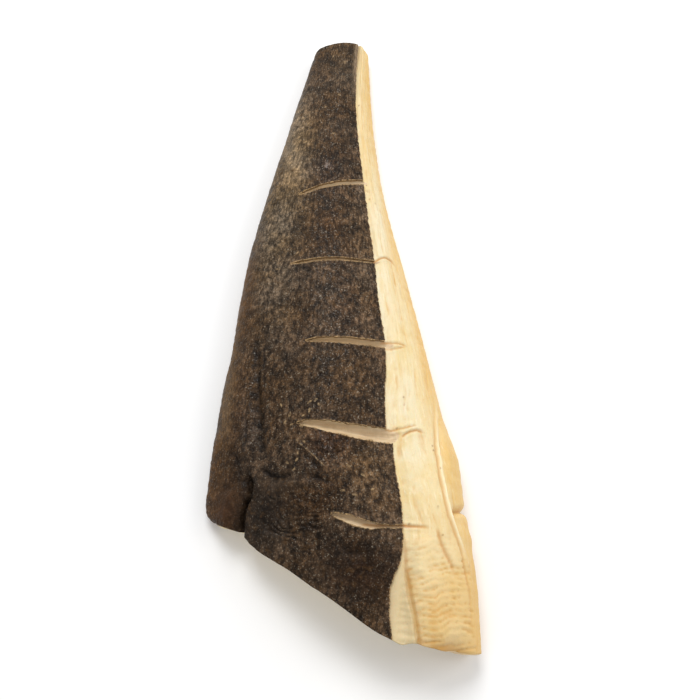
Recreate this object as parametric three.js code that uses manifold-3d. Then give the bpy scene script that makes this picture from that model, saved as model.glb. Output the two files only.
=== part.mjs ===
// A tapered tail-end portion of smoked flatfish, lying on its flesh side with the skin up.
// Millimetres. +Z is up, +Y runs from the cut front end to the tail, and the origin is under
// the middle of the portion's box, on the surface that it rests on.
import * as THREE from "three";
import { LoftGeometry } from "three/addons/geometries/LoftGeometry.js";
import { mergeVertices } from "three/addons/utils/BufferGeometryUtils.js";
import Module from "manifold-3d";

const wasm = await Module();
wasm.setup();

// ---- Driving dimensions ----

const length = 313; // front to tail
const width = 120.5; // across the front third
const thickness = 35; // at the crown of the thickest station
const skinThickness = 1.0;
const skinGap = 0.3; // clearance that keeps the skin's solid off the flesh's
const skinHem = 3.0; // how far the skin's lower edge stays above the surface below
const tuck = 4.0; // how far the sole is set in from the widest line, on both sides
const frontLean = 10.5; // how far the front cut slopes back from its top edge to the sole
const lobeLean = 2.0; // the same, at the bare flesh
const tailLean = 3.0;
const slitOpening = 4.4; // of the widest score
const slitDepth = 4.5;
const foldOpening = 3.5; // of the crease between the belly flap and the body
const foldDepth = 5.0;
const seamOpening = 3.0; // of the crease between the two muscles beside the skin's margin
const seamDepth = 4.5;
const nickOpening = 3.2; // of the notch in the right side
const nickDepth = 4.5;

// ---- Stations, from the front cut to the tail ----
// left, margin and right say where the left edge, the skin's cut margin and the right edge are,
// as shares of the width and the length. heights are shares of the thickness: at the shoulder
// near the left edge, at the crown of the skin, at the margin, and at the ridge near the right
// edge. Each score in the skin runs along one of these stations.

const stations = [
  { left: [0.021, 0.178], margin: [0.681, 0.013], right: [0.998, 0], heights: [0.36, 0.7, 0.77, 0.74] },
  { left: [0, 0.216], margin: [0.722, 0.162], right: [0.984, 0.162], heights: [0.44, 0.93, 0.92, 0.78] },
  { left: [0.029, 0.329], margin: [0.679, 0.289], right: [0.914, 0.295], heights: [0.52, 1, 0.93, 0.72] },
  { left: [0.072, 0.439], margin: [0.67, 0.429], right: [0.841, 0.428], heights: [0.54, 0.95, 0.85, 0.63] },
  { left: [0.113, 0.566], margin: [0.634, 0.569], right: [0.754, 0.582], heights: [0.52, 0.83, 0.73, 0.51] },
  { left: [0.167, 0.678], margin: [0.593, 0.715], right: [0.678, 0.713], heights: [0.47, 0.69, 0.6, 0.43] },
  { left: [0.271, 0.83], margin: [0.564, 0.857], right: [0.634, 0.857], heights: [0.4, 0.54, 0.49, 0.34] },
  { left: [0.378, 0.999], margin: [0.573, 1], right: [0.618, 0.999], heights: [0.31, 0.41, 0.37, 0.26] },
];
const shoulderShare = 0.14; // of the way from the left edge to the margin
const crownShare = 0.6; // of the same way
const ridgeShare = 0.68; // of the way from the margin to the right edge
const bulgeShare = 0.42; // height of the widest line, as a share of the shoulder or the ridge
const tuckShare = 0.17; // the most that the sole is set in, as a share of the station's width
const leanShare = 0.35; // the most that an end leans, as a share of the way to the next station
const frontBow = [0.008, 0.006]; // how far the front cut bows back at two lines, of the length
const lobeReach = 0.003; // how far the lobe at the right stands out in front, of the length
const lobeFall = 0.2; // how much lower the lobe's front end is, as a share of its height
const lobeRound = 0.28; // stations over which the lobe falls away to its front end

// The lines that run along the portion, by where they lie across it.
const line = {
  soleLeft: 0,
  left: 1,
  shoulder: 2,
  crown: 3,
  margin: 4,
  ridge: 5,
  right: 6,
  soleRight: 7,
};

// Where each score starts and ends across the portion, and its share of slitOpening.
const slits = [
  { station: 1, from: 3.2, to: 4.9, gape: 0.7 },
  { station: 2, from: 2.75, to: 4.7, gape: 1 },
  { station: 3, from: 2.85, to: 4.8, gape: 0.7 },
  { station: 4, from: 2.7, to: 5.3, gape: 0.45 },
  { station: 5, from: 2.75, to: 4.15, gape: 0.65 },
];

const stepsBetweenStations = 5;
const roundingSteps = [0.03, 0.07, 0.13]; // extra steps where the front end rounds off
const slitSteps = 10;

// ---- The outer surface ----

const spline = (points) => new THREE.CatmullRomCurve3(points, false, "catmullrom", 0.5);
const place = ([across, along]) => new THREE.Vector3((across - 0.5) * width, (along - 0.5) * length, 0);

// The points of one station's section, in the order of the lines.
function sectionPoints({ left, margin, right, heights }, index) {
  const [l, m, r] = [left, margin, right].map(place);
  const [shoulder, crown, brow, ridge] = heights.map((share) => share * thickness);
  const set = Math.min(tuck, tuckShare * l.distanceTo(r));
  const inwards = new THREE.Vector3().subVectors(r, l).setLength(set);
  const raised = (point, z) => point.clone().setZ(z);
  const points = [
    l.clone().add(inwards),
    raised(l, bulgeShare * shoulder),
    raised(l.clone().lerp(m, shoulderShare), shoulder),
    raised(l.clone().lerp(m, crownShare), crown),
    raised(m, brow),
    raised(m.clone().lerp(r, ridgeShare), ridge),
    raised(r, bulgeShare * ridge),
    r.clone().sub(inwards),
  ];
  if (index === 0) {
    points[line.shoulder].y += frontBow[0] * length;
    points[line.crown].y += frontBow[1] * length;
    points[line.ridge].y -= lobeReach * length;
  }
  return points;
}

const sections = stations.map(sectionPoints);
const rails = sections[0].map((_, i) => spline(sections.map((section) => section[i])));
const lastStation = stations.length - 1;
const lastLine = rails.length - 1;
const railPoint = (index, along) => rails[index].getPoint(along / lastStation);

// The two cut ends, and how far each leans as it goes down.
const bare = (across) => THREE.MathUtils.smoothstep(across, line.margin, line.ridge);
const ends = [
  { station: 0, next: 1, reach: (across) => THREE.MathUtils.lerp(frontLean, lobeLean, bare(across)) },
  { station: lastStation, next: lastStation - 1, reach: () => tailLean },
];

// A point of the outer surface: across counts the lines and along counts the stations.
function upright(across, along) {
  const section = spline(rails.map((_, i) => railPoint(i, along)));
  const point = section.getPoint(across / lastLine);
  const fall = lobeFall * bare(across) * Math.max(0, 1 - along / lobeRound) ** 2;
  return point.setZ(Math.max(0, point.z) * (1 - fall));
}

// Leans a point of the cut ends inwards, the lower the further, and less where the stations
// crowd together. The lean has faded out at the next station.
function lean(point, across, along) {
  for (const { station, next, reach } of ends) {
    const nearness = Math.max(0, 1 - Math.abs(along - station));
    if (nearness === 0) continue;
    const room = upright(across, next).y - upright(across, station).y;
    const below = 1 - Math.min(1, point.z / sections[station][line.crown].z);
    const shift = Math.min(reach(across), leanShare * Math.abs(room));
    point.y += Math.sign(room) * shift * below * nearness ** 2;
  }
  return point;
}

// The same point, leaned if it is near a cut end.
const surface = (across, along) => lean(upright(across, along), across, along);

function normalAt(across, along) {
  const step = 0.02;
  const clamp = THREE.MathUtils.clamp;
  const at = (u, v) => surface(clamp(u, 0, lastLine), clamp(v, 0, lastStation));
  const u = at(across + step, along).sub(at(across - step, along));
  const v = at(across, along + step).sub(at(across, along - step));
  return u.cross(v).normalize();
}

const inset = (across, along, depth) =>
  surface(across, along).addScaledVector(normalAt(across, along), -depth);

// Where the skin starts on the left, so that its hem clears the surface below.
function hemAt(along) {
  let [low, high] = [line.soleLeft, line.left];
  for (let i = 0; i < 20; i++) {
    const middle = (low + high) / 2;
    if (surface(middle, along).z < skinHem) low = middle;
    else high = middle;
  }
  return high;
}

// Values from one to another in even steps, both ends included.
const range = (from, to, steps) =>
  Array.from({ length: steps + 1 }, (_, i) => from + ((to - from) * i) / steps);

// Values across the portion: bare flesh on the left, skin, and bare flesh on the right.
const bareLeft = (hem) => range(line.soleLeft, hem, 2);
const covered = (hem, margin) => [
  ...range(hem, line.shoulder, 5),
  ...range(line.shoulder, line.crown, 6).slice(1),
  ...range(line.crown, margin, 5).slice(1),
];
const bareRight = (margin) => [
  ...range(margin, line.ridge, 4),
  ...range(line.ridge, line.right, 4).slice(1),
  ...range(line.right, line.soleRight, 2).slice(1),
];

// ---- Solids ----

function solid(geometry) {
  const plain = new THREE.BufferGeometry();
  plain.setAttribute("position", geometry.attributes.position);
  plain.setIndex(geometry.index);
  const merged = mergeVertices(plain);
  return new wasm.Manifold(
    new wasm.Mesh({
      numProp: 3,
      vertProperties: merged.attributes.position.array,
      triVerts: new Uint32Array(merged.index.array),
    }),
  );
}

function geometryOf(manifold) {
  const mesh = manifold.getMesh();
  const geometry = new THREE.BufferGeometry();
  geometry.setAttribute("position", new THREE.BufferAttribute(mesh.vertProperties, 3));
  geometry.setIndex(new THREE.BufferAttribute(mesh.triVerts, 1));
  geometry.computeVertexNormals();
  return geometry;
}

// Every ring is an upper row and then a lower row, back to front. Drawn together they close an
// end of the loft.
const drawnTogether = (ring) =>
  ring.map((point, i) => point.clone().lerp(ring[ring.length - 1 - i], 0.5));

function body(ringAt) {
  const even = range(0, lastStation, lastStation * stepsBetweenStations);
  const rings = [...even, ...roundingSteps].sort((a, b) => a - b).map(ringAt);
  return solid(new LoftGeometry([drawnTogether(rings[0]), ...rings, drawnTogether(rings.at(-1))]));
}

// The flesh: the outer surface, let in by the skin's thickness where the skin lies on it, over a
// flat sole.
function fleshRing(along) {
  const hem = hemAt(along);
  const letIn = skinThickness + skinGap;
  const wall = 0.012; // lines between the foot and the head of the step beside the skin's edge
  const clear = 0.06; // lines between the skin's edge and the foot of the step
  const soleStep = 0.3; // the least distance across between two points of the sole
  const left = bareLeft(hem - clear - wall);
  const under = covered(hem - clear, line.margin + clear);
  const right = bareRight(line.margin + clear + wall);
  const outer = (u) => surface(u, along);
  const upper = [...left.map(outer), ...under.map((u) => inset(u, along, letIn)), ...right.map(outer)];
  const [soleLeft, soleRight] = [line.soleLeft, line.soleRight].map(outer);
  const lower = [...left, ...under, ...right].map((u) => {
    const point = upright(u, along).setZ(0);
    if (point.x < soleLeft.x + soleStep) return soleLeft.clone();
    if (point.x > soleRight.x - soleStep) return soleRight.clone();
    return lean(point, u, along);
  });
  return [...upper, ...lower.reverse()];
}

// The skin: the outer surface from its hem to its cut margin, and the same let in.
function skinRing(along) {
  const across = covered(hemAt(along), line.margin);
  const upper = across.map((u) => surface(u, along));
  const lower = across.map((u) => inset(u, along, skinThickness));
  return [...upper, ...lower.reverse()];
}

// A wedge that opens a groove along a path of [across, along] points. It is widest half way along
// and tapers to nothing at both ends, or only at the far end if its near end runs out of a cut.
function wedge(path, opening, depth, runsOut = false) {
  const above = 2.5; // how far the wedge stands clear of the surface
  const thinnest = 0.06;
  const last = path.length - 1;
  const points = path.map(([u, v]) => surface(u, v));
  const rings = path.map(([u, v], i) => {
    const share = runsOut ? 1 - i / last : Math.sin((Math.PI * i) / last);
    const size = Math.max(thinnest, Math.max(0, share) ** 0.6);
    const ahead = points[Math.min(last, i + 1)].clone().sub(points[Math.max(0, i - 1)]);
    const up = normalAt(u, v);
    const sideways = new THREE.Vector3().crossVectors(up, ahead).normalize();
    const half = ((size * opening) / 2) * (1 + above / depth);
    const corner = (side, height) =>
      points[i].clone().addScaledVector(sideways, side).addScaledVector(up, height);
    return [corner(-half, above), corner(0, -depth * size), corner(half, above)];
  });
  if (runsOut) {
    const out = points[0].clone().sub(points[1]).setLength(frontLean);
    rings.unshift(rings[0].map((point) => point.clone().add(out)));
  }
  return solid(new LoftGeometry(rings, { capStart: true, capEnd: true }));
}

const scores = slits.map(({ station, from, to, gape }) => {
  const path = range(from, to, slitSteps).map((u) => [u, station]);
  return wedge(path, gape * slitOpening, Math.sqrt(gape) * slitDepth);
});
const fold = wedge(
  [[2.1, 0], [2.13, 0.3], [2.16, 0.7], [2.17, 1], [2.13, 1.4]],
  foldOpening,
  foldDepth,
  true,
);
const seam = wedge(
  [[4.49, 0], [4.35, 0.16], [4.24, 0.3], [4.13, 0.55], [4.06, 0.75]],
  seamOpening,
  seamDepth,
  true,
);
const nick = wedge(
  range(5.3, 6.7, 6).map((u) => [u, 1.3]),
  nickOpening,
  nickDepth,
);

const cut = (whole, wedges) => wedges.reduce((rest, tool) => rest.subtract(tool), whole);

// ---- The portion ----

function piece(name, manifold, colour, roughness) {
  const material = new THREE.MeshStandardMaterial({ color: colour, roughness, metalness: 0 });
  const mesh = new THREE.Mesh(geometryOf(manifold), material);
  mesh.name = name;
  return mesh;
}

const flesh = cut(body(fleshRing), [...scores, fold, seam, nick]);
const skin = cut(body(skinRing), [...scores, fold]);

const portion = new THREE.Group();
portion.add(piece("flesh", flesh, 0xf0d896, 0.5));
portion.add(piece("skin", skin, 0x4c3f34, 0.55));

const box = new THREE.Box3().setFromObject(portion);
const middle = box.getCenter(new THREE.Vector3());
portion.position.set(-middle.x, -middle.y, -box.min.z);

export default portion;
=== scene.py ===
"""The looks of a smoked flatfish portion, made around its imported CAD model.

The flesh and the skin are both sheets over one surface, which a few lines along the portion and a
few stations across it define. "across" counts the lines and "along" counts the stations, as in
the part's source. Lengths are in millimetres until a mesh is made.
"""
import math
import bpy
import numpy as np
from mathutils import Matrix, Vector


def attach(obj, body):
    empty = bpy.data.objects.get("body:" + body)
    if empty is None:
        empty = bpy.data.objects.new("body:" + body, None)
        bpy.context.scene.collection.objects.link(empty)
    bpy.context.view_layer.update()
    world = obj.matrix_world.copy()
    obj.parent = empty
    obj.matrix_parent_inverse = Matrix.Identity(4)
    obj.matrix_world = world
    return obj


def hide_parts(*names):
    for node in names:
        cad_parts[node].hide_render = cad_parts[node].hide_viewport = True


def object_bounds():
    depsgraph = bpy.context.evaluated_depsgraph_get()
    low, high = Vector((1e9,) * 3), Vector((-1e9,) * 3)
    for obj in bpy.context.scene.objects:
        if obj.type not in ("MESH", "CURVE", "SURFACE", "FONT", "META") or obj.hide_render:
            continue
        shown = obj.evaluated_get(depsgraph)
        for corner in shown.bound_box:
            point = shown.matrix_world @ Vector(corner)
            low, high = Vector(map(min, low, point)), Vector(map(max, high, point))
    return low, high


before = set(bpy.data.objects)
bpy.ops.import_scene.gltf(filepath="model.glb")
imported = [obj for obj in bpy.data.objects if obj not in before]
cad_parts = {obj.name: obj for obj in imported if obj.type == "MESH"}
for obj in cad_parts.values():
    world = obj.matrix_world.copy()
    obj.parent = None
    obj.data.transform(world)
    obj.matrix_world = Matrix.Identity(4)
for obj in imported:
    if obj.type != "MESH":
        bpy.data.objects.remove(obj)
CAD_LOW, CAD_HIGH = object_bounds()
MM = 0.001

# ---- The surface that the skin and the flesh share ----
# left, margin and right are plan positions, and heights are at the shoulder, crown, margin and
# ridge, all as shares of the portion's length, width and thickness.

STATIONS = [
    ((0.021, 0.178), (0.681, 0.013), (0.998, 0.000), (0.36, 0.70, 0.77, 0.74)),
    ((0.000, 0.216), (0.722, 0.162), (0.984, 0.162), (0.44, 0.93, 0.92, 0.78)),
    ((0.029, 0.329), (0.679, 0.289), (0.914, 0.295), (0.52, 1.00, 0.93, 0.72)),
    ((0.072, 0.439), (0.670, 0.429), (0.841, 0.428), (0.54, 0.95, 0.85, 0.63)),
    ((0.113, 0.566), (0.634, 0.569), (0.754, 0.582), (0.52, 0.83, 0.73, 0.51)),
    ((0.167, 0.678), (0.593, 0.715), (0.678, 0.713), (0.47, 0.69, 0.60, 0.43)),
    ((0.271, 0.830), (0.564, 0.857), (0.634, 0.857), (0.40, 0.54, 0.49, 0.34)),
    ((0.378, 0.999), (0.573, 1.000), (0.618, 0.999), (0.31, 0.41, 0.37, 0.26)),
]
LENGTH, WIDTH, THICKNESS = 313, 120.5, 35.0
TUCK = 4.0
SHOULDER, CROWN, RIDGE = 0.14, 0.6, 0.68
BULGE = 0.42
FRONT_LEAN, LOBE_LEAN, TAIL_LEAN, LEAN_SHARE = 10.5, 2, 3, 0.35
LOBE_REACH, LOBE_FALL, LOBE_ROUND = 0.003, 0.2, 0.28
LAST_LINE = 7
LAST_STATION = len(STATIONS) - 1
MARGIN, RIDGE_AT = 4, 5.0
HEM_HEIGHT = 3.0
SKIN = 0.95
BED = 0.06


def smooth(x, low, high):
    """0 below low, 1 above high, and an even rise between them."""
    t = np.clip((x - low) / (high - low), 0.0, 1.0)
    return t * t * (3.0 - 2.0 * t)


def bell(x, middle, reach):
    return np.exp(-(((x - middle) / reach) ** 2))


def follow(x, points):
    """A smooth line through (x, value) points."""
    xs, ys = zip(*points)
    i = np.clip(np.searchsorted(xs, x) - 1, 0, len(xs) - 2)
    xs, ys = np.array(xs), np.array(ys)
    t = np.clip((x - xs[i]) / (xs[i + 1] - xs[i]), 0.0, 1.0)
    t = t * t * (3.0 - 2.0 * t)
    return ys[i] + (ys[i + 1] - ys[i]) * t


def noise(x, y, seed):
    """Smooth noise from -1 to 1 with features one unit across."""
    side = 128
    table = np.random.default_rng(seed).uniform(-1.0, 1.0, (side, side))
    xi, yi = np.floor(x).astype(int), np.floor(y).astype(int)
    fx, fy = x - xi, y - yi
    fx, fy = fx * fx * (3 - 2 * fx), fy * fy * (3 - 2 * fy)
    a, b = table[xi % side, yi % side], table[(xi + 1) % side, yi % side]
    c, d = table[xi % side, (yi + 1) % side], table[(xi + 1) % side, (yi + 1) % side]
    return (a * (1 - fx) + b * fx) * (1 - fy) + (c * (1 - fx) + d * fx) * fy


def layered(x, y, seed, layers=3):
    total = sum(noise(x * 2**k, y * 2**k, seed + k) / 2**k for k in range(layers))
    return total / 1.6


def ripple(distance, step, power):
    """Rounded waves from 0 to 1, one for each step."""
    return np.abs(np.sin(math.pi * distance / step)) ** power


def station_points(left, margin, right, heights, first):
    l, m, r = [
        np.array([(p[0] - 0.5) * WIDTH, (p[1] - 0.5) * LENGTH, 0.0]) for p in (left, margin, right)
    ]
    shoulder, crown, brow, ridge = [share * THICKNESS for share in heights]
    inwards = (r - l) / np.linalg.norm(r - l) * TUCK
    up = np.array([0.0, 0.0, 1.0])
    points = [
        l + inwards,
        l + up * BULGE * shoulder,
        l + (m - l) * SHOULDER + up * shoulder,
        l + (m - l) * CROWN + up * crown,
        m + up * brow,
        m + (r - m) * RIDGE + up * ridge,
        r + up * BULGE * ridge,
        r - inwards,
    ]
    if first:
        points[5][1] -= LOBE_REACH * LENGTH
    return points


CONTROLS = np.array([station_points(*s, first=i == 0) for i, s in enumerate(STATIONS)])


def with_ghosts(points):
    """Points with one more at each end, so that a curve can reach the first and the last."""
    return np.concatenate([2 * points[:1] - points[1:2], points, 2 * points[-1:] - points[-2:-1]])


GRID = with_ghosts(with_ghosts(CONTROLS).swapaxes(0, 1))


def window(t, count):
    """The first of the four control points that shape a Catmull-Rom curve at t, and their weights."""
    i = np.clip(np.floor(t).astype(int), 0, count - 2)
    f = t - i
    return i, [
        -0.5 * f + f**2 - 0.5 * f**3,
        1 - 2.5 * f**2 + 1.5 * f**3,
        0.5 * f + 2 * f**2 - 1.5 * f**3,
        -0.5 * f**2 + 0.5 * f**3,
    ]


def upright(across, along):
    i, over = window(across, LAST_LINE + 1)
    j, down = window(along, LAST_STATION + 1)
    points = sum(
        (over[a] * down[b])[..., None] * GRID[i + a, j + b] for a in range(4) for b in range(4)
    )
    fall = LOBE_FALL * smooth(across, MARGIN, RIDGE_AT) * np.clip(1 - along / LOBE_ROUND, 0, 1) ** 2
    points[..., 2] = np.maximum(points[..., 2], 0.0) * (1 - fall)
    return points


def lean(points, across, along):
    """Slopes the two cut ends back as they go down."""
    for station, step, reach in ((0, 1, FRONT_LEAN), (LAST_STATION, -1, TAIL_LEAN)):
        near = np.clip(1.0 - np.abs(along - station), 0.0, 1.0) ** 2
        some = near > 0
        u = across[some]
        if not len(u):
            continue
        here = upright(u, np.full_like(u, float(station)))
        there = upright(u, np.full_like(u, float(station + step)))
        room = there[:, 1] - here[:, 1]
        below = 1.0 - np.clip(points[some][:, 2] / CONTROLS[station, 3, 2], 0.0, 1.0)
        if station == 0:
            reach = FRONT_LEAN + (LOBE_LEAN - FRONT_LEAN) * smooth(u, MARGIN, RIDGE_AT)
        shift = np.minimum(reach, LEAN_SHARE * np.abs(room))
        points[some, 1] += np.sign(room) * shift * below * near[some]
    return points


def base(across, along):
    return lean(upright(across, along), across, along)


def normals(across, along, step=0.01):
    u0, u1 = np.clip(across - step, 0, LAST_LINE), np.clip(across + step, 0, LAST_LINE)
    v0, v1 = np.clip(along - step, 0, LAST_STATION), np.clip(along + step, 0, LAST_STATION)
    n = np.cross(base(u1, along) - base(u0, along), base(across, v1) - base(across, v0))
    return n / np.maximum(np.linalg.norm(n, axis=-1, keepdims=True), 1e-9)


def pace(across, along, step=0.02):
    """Millimetres travelled for one unit across, and for one unit along."""
    du = base(across + step, along) - base(across - step, along)
    dv = base(across, along + step) - base(across, along - step)
    return np.linalg.norm(du, axis=-1) / (2 * step), np.linalg.norm(dv, axis=-1) / (2 * step)


def fit():
    """The shift and scale that take the surface's own box to the CAD model's."""
    across, along = np.meshgrid(
        np.linspace(0, LAST_LINE, 141), np.linspace(0, LAST_STATION, 281), indexing="ij"
    )
    points = base(across, along).reshape(-1, 3)
    low, high = points.min(0), points.max(0)
    cad_low, cad_high = np.array(CAD_LOW) / MM, np.array(CAD_HIGH) / MM
    scale = (cad_high - cad_low) / (high - low)
    return cad_low - low * scale, scale


SHIFT, SCALE = fit()


def plan(points):
    """Where points lie on the floor, from the middle of the portion's box."""
    return points[..., 0] + SHIFT[0], points[..., 1] + SHIFT[1]



# ---- The scores ----
# Each lies on a station. gape gives half its opening across the lines, bow how far its middle
# stands off the station, and faint where its line on the bare flesh ends.

SCORES = [
    dict(at=1, gape=[(3.10, 0), (3.20, 1.1), (3.36, 1.9), (3.55, 1.5), (3.72, 0.6), (4, 0.55)],
         bow=[(3.1, -0.2), (3.55, -1.6), (3.8, -0.4), (4, 0.8), (4.6, 0.6)], faint=4.3, depth=1.2),
    dict(at=2, gape=[(2.73, 0), (2.90, 1.5), (3.20, 2.6), (3.60, 3.1), (4, 3.3)],
         bow=[(2.7, 0), (3.4, -0.6), (4, 0.0), (4.35, 2.0), (4.8, 2.2)], faint=4.8, depth=2.8),
    dict(at=3, gape=[(2.75, 0), (2.95, 1.1), (3.40, 1.6), (3.80, 1.6), (4, 1.7)],
         bow=[(2.7, 0), (4, 0), (4.4, 1.2), (4.85, 0.3)], faint=4.85, depth=2.2),
    dict(at=4, gape=[(2.48, 0), (2.70, 0.7), (3.30, 0.75), (3.8, 0.6), (4, 0.6)],
         bow=[(2.4, 0), (4, 0), (4.7, 1.4), (5.4, -0.6)], faint=4.3, depth=1.0),
    dict(at=5, gape=[(2.53, 0), (2.70, 0.9), (3.20, 1.2), (3.9, 1.35), (4, 1.1)],
         bow=[(2.5, -0.2), (3.0, 0.6), (4, 0)], faint=4.2, depth=1.1),
]
RELAX = 8.0  # millimetres over which the skin closes up again beside a score


def half_gape(score, across):
    wide = follow(across, score["gape"])
    tip = score["gape"][0][0]
    runout = 1.0 - 0.8 * smooth(across, MARGIN, MARGIN + 0.3)
    end = 1.0 - smooth(across, score["faint"] - 0.25, score["faint"])
    return np.where(across > tip, wide, 0.0) * runout * end


def spread(across, along, side):
    """Moves positions along, so that the scores gape. side tells the two lips of a score apart."""
    _, stride = pace(across, along)
    moved = np.zeros_like(along)
    for score in SCORES:
        off = (along - score["at"]) * stride
        fade = np.exp(-np.abs(off) / RELAX) * (np.abs(off) < 5 * RELAX)
        sign = np.where(off == 0.0, side, np.sign(off))
        opening = half_gape(score, np.minimum(across, MARGIN))
        has = opening > 0
        ragged = noise(across * 13, sign * 3.3 + score["at"] * 7, 131) + noise(across * 31, sign * 5.1, 133)
        opening = opening * (1 + 0.12 * ragged)
        moved += fade * (sign * opening + follow(across, score["bow"]) * has)
    return along + moved / stride


def off_score(score, across, along):
    """Signed distance from the score's middle, in millimetres."""
    _, stride = pace(across, along)
    return (along - score["at"]) * stride - follow(across, score["bow"])


def inside_scores(across, along):
    """How deep each point lies in a score, from 0 at its lips to 1 at the bottom, and the depth
    in millimetres."""
    share = np.zeros_like(across)
    depth = np.zeros_like(across)
    for score in SCORES:
        half = half_gape(score, across)
        off = np.abs(off_score(score, across, along))
        inside = np.clip(1.0 - off / np.maximum(half + 0.25, 0.26), 0.0, 1.0) * (half > 0.02)
        full = score["depth"] * np.clip(half / max(w for _, w in score["gape"]), 0.12, 1.0) ** 0.7
        full *= 1 - 0.5 * smooth(across, 3.6, 4.1)
        depth = np.maximum(depth, full * inside**0.75)
        share = np.maximum(share, inside)
    beyond = 1 - smooth(across, MARGIN, MARGIN + 0.25)
    return share * beyond, depth * (0.15 + 0.85 * beyond)


def shade_in_scores(across, along):
    """1 on the wall of a score that faces the front, and 0 on the other."""
    shade = np.zeros_like(across)
    for score in SCORES:
        off = off_score(score, across, along)
        shade = np.where(np.abs(off) < 6, smooth(off, -0.6, 1.6), shade)
    return shade


# ---- Relief ----
# Places are plan positions in millimetres from the middle of the portion's box.

FOLD = [(-42.6, -79.2), (-40.6, -81.2), (-39.4, -84.4), (-39.8, -89), (-41.6, -92.2),
        (-43, -98), (-43.3, -103), (-43.6, -109)]
COLLAR = [(-34.5, -78), (-32.3, -80.3), (-30, -82.2), (-26.5, -83), (-22.5, -83), (-17.5, -81.2)]
FLANK = [(-38.5, -6), (-37.8, -25), (-37.6, -39.8), (-36.6, -50.4), (-35.6, -60.4),
         (-34.2, -70.5), (-31, -77)]
UNDER_FLANK = [(-48.5, -64), (-46.6, -72), (-44.6, -78.2), (-41, -81.5)]
SECOND = [(-13, -84), (-9.4, -85.1), (-4.8, -86.9), (-1, -87)]
BESIDE = [(-7, -65.1), (-4.4, -69.4), (-2.4, -72.8), (-1.1, -77.8)]
SCRAPE = [(-18.5, -66.4), (-16.9, -69.5), (-13.9, -72.6), (-10.9, -75.6), (-6.6, -80), (-4.2, -84)]
SCRAPE_2 = [(-15.8, -73), (-12.6, -76.6), (-9.8, -79.3), (-6.8, -83.4)]
LOW = [(-3, -112), (4, -116), (12, -117)]
CREASES = [  # path, depth, half width, strength of the painted shade, whether it runs out of the front cut
    (FOLD, 3.2, 1.15, 1.0, True),
    (COLLAR, 1.6, 1.2, 0.95, False),
    (FLANK, 1.9, 2.4, 0.5, False),
    (UNDER_FLANK, 0.9, 1.0, 0.7, False),
    (SECOND, 0.9, 0.8, 0.8, False),
    (BESIDE, 0.8, 1.3, 0.55, False),
    (SCRAPE_2, 0.8, 0.9, 0.7, False),
    (LOW, 0.9, 2.0, 0.4, False),
]
CRESTS = [  # path, height, half width
    ([(-41.5, -30), (-41, -46.5), (-40.6, -55.6), (-40.6, -66.6), (-39.5, -74)], 1.1, 2.2),
    ([(-31, -86.4), (-24, -87.2), (-16, -86.6), (-9, -89)], 1.4, 2.7),
    (SCRAPE, 0.6, 0.7),
]
WRINKLE_CENTRE = (-10.9, -81)
WRINKLE_STEP = 2.3
PATH_REACH = 16.0  # nothing further than this from a path feels it
FAR = 1e3


def from_path(x, y, path):
    """Distance from a path, positive on its left, and how far along the nearest point is, 0 to 1."""
    best = np.full(x.shape, FAR)
    where = np.zeros(x.shape)
    lows, highs = np.min(path, axis=0) - PATH_REACH, np.max(path, axis=0) + PATH_REACH
    near = (x > lows[0]) & (x < highs[0]) & (y > lows[1]) & (y < highs[1])
    px, py = x[near], y[near]
    gaps, places = np.full(px.shape, FAR), np.zeros(px.shape)
    for i, (a, b) in enumerate(zip(path, path[1:])):
        dx, dy = b[0] - a[0], b[1] - a[1]
        t = np.clip(((px - a[0]) * dx + (py - a[1]) * dy) / (dx * dx + dy * dy), 0.0, 1.0)
        ex, ey = px - a[0] - t * dx, py - a[1] - t * dy
        gap = np.hypot(ex, ey)
        closer = gap < np.abs(gaps)
        gaps = np.where(closer, np.where(dx * ey - dy * ex < 0, -gap, gap), gaps)
        places = np.where(closer, (i + t) / (len(path) - 1), places)
    best[near], where[near] = gaps, places
    return best, where


def taper(where, runs_out=False):
    """1 along a path, fading to 0 at its ends, or only at its start if it runs out of a cut."""
    fade = smooth(where, 0.0, 0.22)
    return fade if runs_out else fade * (1 - smooth(where, 0.72, 1.0))


def warped(x, y, seed, amount=0.5):
    """The same places, wavering a little, so that lines drawn on them are not ruled."""
    sway, swing = [amount * layered(x / 4.0, y / 4.0, s, 2) for s in (seed, seed + 5)]
    return x + sway, y + swing


def creases(x, y):
    """How far the creases go down, and the painted shade in them."""
    wx, wy = warped(x, y, 101)
    depth, painted_shade = np.zeros_like(x), np.zeros_like(x)
    for path, deep, wide, shade, runs_out in CREASES:
        gap, where = from_path(wx, wy, path)
        line = taper(where, runs_out) * np.exp(-np.abs(gap / wide) ** 1.6)
        depth = np.maximum(depth, deep * line)
        # Painted shade in each crease, fading with the crease
        painted_shade = np.maximum(painted_shade, shade * line)
    return depth, painted_shade


def flap_relief(x, y):
    """The belly flap left of the fold: its side rolls down into the fold, and painted shade darkens that
    side.
    """
    gap, where = from_path(x, y, FOLD)
    left = (gap < 0) * taper(where, True)
    # The second value is painted shade on the flap's side where it rolls down into the fold
    return left * (1.3 * bell(gap, -7.0, 4.0) - 1.8 * np.exp(gap / 3.2)), left * np.exp(gap / 3.0)


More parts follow.
